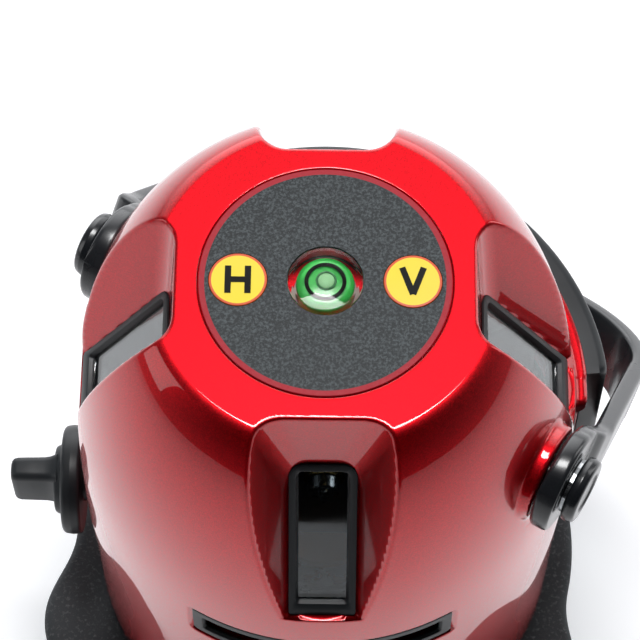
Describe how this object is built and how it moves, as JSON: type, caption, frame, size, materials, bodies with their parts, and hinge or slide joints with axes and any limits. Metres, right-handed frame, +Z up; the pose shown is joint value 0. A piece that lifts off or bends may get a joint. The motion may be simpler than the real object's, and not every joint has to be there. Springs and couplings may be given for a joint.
{
  "type": "laser level",
  "caption": "Self-levelling cross-line laser level: domed red head with windows, bail handle, lock knob and keys, turning on a levelling base.",
  "frame": {"origin": "on the head's turning axis, at the ceiling of the tripod socket in the base", "axes": "+Z up along the turning axis, -Y out of the front window, -X out of the lock knob's side"},
  "size_m": [0.1729, 0.1636, 0.2],
  "materials": {
    "candy_red": "metallic candy red lacquer over moulded plastic, fine flake",
    "satin_black": "satin black moulded plastic",
    "gloss_black": "gloss black moulded plastic",
    "window_glass": "clear grey window pane",
    "keypad_sheet": "dark grey grained label film with a red border line",
    "key_yellow": "yellow printed key",
    "vial_green": "clear vial with green liquid",
    "white_plastic": "white plastic",
    "circuit_board": "green circuit board",
    "cell_sleeve": "printed cell sleeve, no marks",
    "steel": "turned steel",
    "aluminium": "machined aluminium",
    "brass": "turned brass",
    "copper": "copper alloy plate",
    "base_grey": "dark grey speckled moulding",
    "rubber": "black rubber"
  },
  "bodies": {
    "base": {"base_plate": "base_grey", "tripod_insert": "brass", "thrust_washer": "white_plastic", "bearing_cap": "steel", "bearing_screw": "steel"},
    "head": {"housing": "candy_red", "bottom_cover": "satin_black", "front_window_frame": "satin_black", "right_window_frame": "satin_black", "rear_window_frame": "satin_black", "left_window_frame": "satin_black", "front_window_glass": "window_glass", "right_window_glass": "window_glass", "rear_window_glass": "window_glass", "left_window_glass": "window_glass", "slot_window_frame": "satin_black", "slot_window_glass": "window_glass", "keypad_sheet": "keypad_sheet", "h_switch": "satin_black", "v_switch": "satin_black", "bubble_vial": "vial_green", "vial_cup": "white_plastic", "key_board": "circuit_board", "battery_tray": "satin_black", "battery_cell_1": "cell_sleeve", "battery_cell_2": "cell_sleeve", "battery_cell_3": "cell_sleeve", "battery_cell_4": "cell_sleeve", "pendulum_cage": "aluminium", "gimbal_bridge": "aluminium", "damping_magnet": "steel", "left_handle_screw": "gloss_black", "right_handle_screw": "gloss_black", "left_handle_washer": "steel", "right_handle_washer": "steel"},
    "foot_1": {"foot_pad_1": "rubber"},
    "foot_screw_1": {"foot_screw_1": "steel", "foot_wheel_1": "satin_black"},
    "foot_2": {"foot_pad_2": "rubber"},
    "foot_screw_2": {"foot_screw_2": "steel", "foot_wheel_2": "satin_black"},
    "foot_3": {"foot_pad_3": "rubber"},
    "foot_screw_3": {"foot_screw_3": "steel", "foot_wheel_3": "satin_black"},
    "handle": {"handle": "gloss_black"},
    "battery_cover": {"battery_cover": "satin_black"},
    "lock_knob": {"lock_knob": "satin_black", "lock_shaft": "steel"},
    "h_key": {"h_key": "key_yellow"},
    "v_key": {"v_key": "key_yellow"},
    "gimbal_ring": {"gimbal_ring": "brass"},
    "pendulum": {"pendulum_body": "aluminium", "damping_plate": "copper", "front_laser_module": "brass", "right_laser_module": "brass", "rear_laser_module": "brass", "left_laser_module": "brass", "level_laser_module": "brass"}
  },
  "joints": [
    {"name": "head_rotation", "type": "hinge", "parent": "base", "child": "head", "pos_m": [0, 0, 0.011], "axis": [0, 0, 1], "continuous": true},
    {"name": "foot_1_lift", "type": "slide", "parent": "base", "child": "foot_1", "axis": [0, 0, 1], "range_m": [-0.002, 0.002]},
    {"name": "foot_1_turn", "type": "hinge", "parent": "foot_1", "child": "foot_screw_1", "pos_m": [-0.05799, -0.02462, -0.01], "axis": [0, 0, 1], "range_deg": [-720, 720]},
    {"name": "foot_2_lift", "type": "slide", "parent": "base", "child": "foot_2", "axis": [0, 0, 1], "range_m": [-0.002, 0.002]},
    {"name": "foot_2_turn", "type": "hinge", "parent": "foot_2", "child": "foot_screw_2", "pos_m": [0.05031, -0.03791, -0.01], "axis": [0, 0, 1], "range_deg": [-720, 720]},
    {"name": "foot_3_lift", "type": "slide", "parent": "base", "child": "foot_3", "axis": [0, 0, 1], "range_m": [-0.002, 0.002]},
    {"name": "foot_3_turn", "type": "hinge", "parent": "foot_3", "child": "foot_screw_3", "pos_m": [0.00768, 0.06253, -0.01], "axis": [0, 0, 1], "range_deg": [-720, 720]},
    {"name": "handle_swing", "type": "hinge", "parent": "head", "child": "handle", "pos_m": [0, 0, 0.128], "axis": [0.8788, -0.4772, 0], "range_deg": [0, 190]},
    {"name": "battery_cover_slide", "type": "slide", "parent": "head", "child": "battery_cover", "axis": [0, 0, 1], "range_m": [0, 0.018]},
    {"name": "lock_knob_turn", "type": "hinge", "parent": "head", "child": "lock_knob", "pos_m": [-0.0623, 0, 0.05], "axis": [-1, 0, 0], "range_deg": [0, 90]},
    {"name": "h_key_press", "type": "slide", "parent": "head", "child": "h_key", "axis": [0, 0, -1], "range_m": [0, 0.0005], "stiffness_N_per_m": 100, "springref_m": -0.002},
    {"name": "v_key_press", "type": "slide", "parent": "head", "child": "v_key", "axis": [0, 0, -1], "range_m": [0, 0.0005], "stiffness_N_per_m": 100, "springref_m": -0.002},
    {"name": "gimbal_roll", "type": "hinge", "parent": "head", "child": "gimbal_ring", "pos_m": [0, 0, 0.136], "axis": [1, 0, 0], "range_deg": [-3, 3]},
    {"name": "gimbal_pitch", "type": "hinge", "parent": "gimbal_ring", "child": "pendulum", "pos_m": [0, 0, 0.136], "axis": [0, 1, 0], "range_deg": [-3, 3]}
  ],
  "couplings": [
    {"joint": "foot_1_turn", "follows": "foot_1_lift", "rad_per_m": 6283.2},
    {"joint": "foot_2_turn", "follows": "foot_2_lift", "rad_per_m": 6283.2},
    {"joint": "foot_3_turn", "follows": "foot_3_lift", "rad_per_m": 6283.2}
  ]
}
